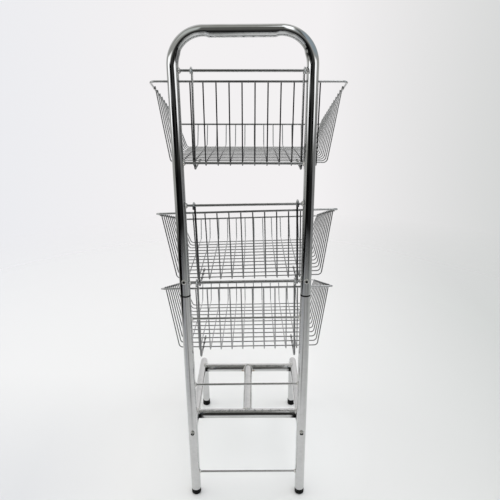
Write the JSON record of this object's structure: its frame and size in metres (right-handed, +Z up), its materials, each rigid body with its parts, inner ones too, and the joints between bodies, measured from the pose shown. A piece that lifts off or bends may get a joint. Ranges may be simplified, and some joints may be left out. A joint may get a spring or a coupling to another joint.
{
  "type": "wire basket stand",
  "caption": "Free-standing tube stand with a looped handle; open wire baskets hook over cross rods on its front, one above another, and swing up.",
  "frame": {"origin": "on the floor, at the middle of the footprint of the object's bounding box", "axes": "+Z up, +Y from the uprights to the low fronts of the baskets, +X to the right seen from behind"},
  "size_m": [0.4532, 0.4586, 1.27],
  "materials": {
    "chromed_tube": "bright chrome plate",
    "chromed_rod": "bright chrome plate",
    "chromed_wire": "bright chrome plate",
    "zinc_tube": "satin zinc plate",
    "zinc_hardware": "yellowish zinc plate",
    "rubber": "matt black rubber"
  },
  "bodies": {
    "stand": {"handle_frame": "chromed_tube", "top_hang_rod": "chromed_rod", "top_rest_rod": "chromed_rod", "middle_hang_rod": "chromed_rod", "lower_hang_rod": "chromed_rod", "lower_rest_rod": "zinc_tube", "brace_rod": "zinc_tube", "foot_rod": "zinc_tube", "left_lower_upright": "zinc_tube", "left_base_tube": "zinc_tube", "left_rear_foot": "rubber", "left_front_foot": "rubber", "right_lower_upright": "zinc_tube", "right_base_tube": "zinc_tube", "right_rear_foot": "rubber", "right_front_foot": "rubber", "rear_cross_tube": "zinc_tube", "front_cross_tube": "zinc_tube", "centre_tube": "zinc_tube", "joint_bolts": "zinc_hardware", "joint_rear_washers": "zinc_hardware", "joint_front_washers": "zinc_hardware", "joint_nuts": "zinc_hardware", "base_bolts": "zinc_hardware", "base_washers": "zinc_hardware", "base_plugs": "zinc_hardware"},
    "top_basket": {"top_rim": "chromed_wire", "top_long_wires": "chromed_wire", "top_cross_wires": "chromed_wire", "top_left_hook": "chromed_wire", "top_right_hook": "chromed_wire"},
    "middle_basket": {"middle_rim": "chromed_wire", "middle_long_wires": "chromed_wire", "middle_cross_wires": "chromed_wire", "middle_left_hook": "chromed_wire", "middle_right_hook": "chromed_wire"},
    "lower_basket": {"lower_rim": "chromed_wire", "lower_long_wires": "chromed_wire", "lower_cross_wires": "chromed_wire", "lower_left_hook": "chromed_wire", "lower_right_hook": "chromed_wire"}
  },
  "joints": [
    {"name": "top_basket_swing", "type": "hinge", "parent": "stand", "child": "top_basket", "pos_m": [0.00486, -0.21044, 1.177], "axis": [1, 0, -0.0079], "range_deg": [0, 60]},
    {"name": "middle_basket_swing", "type": "hinge", "parent": "stand", "child": "middle_basket", "pos_m": [-0.00304, -0.21044, 0.87724], "axis": [1, 0, 0.0099], "range_deg": [0, 25]},
    {"name": "lower_basket_swing", "type": "hinge", "parent": "stand", "child": "lower_basket", "pos_m": [-0.00504, -0.21044, 0.67745], "axis": [0.9999, 0, 0.0132], "range_deg": [0, 12]}
  ]
}
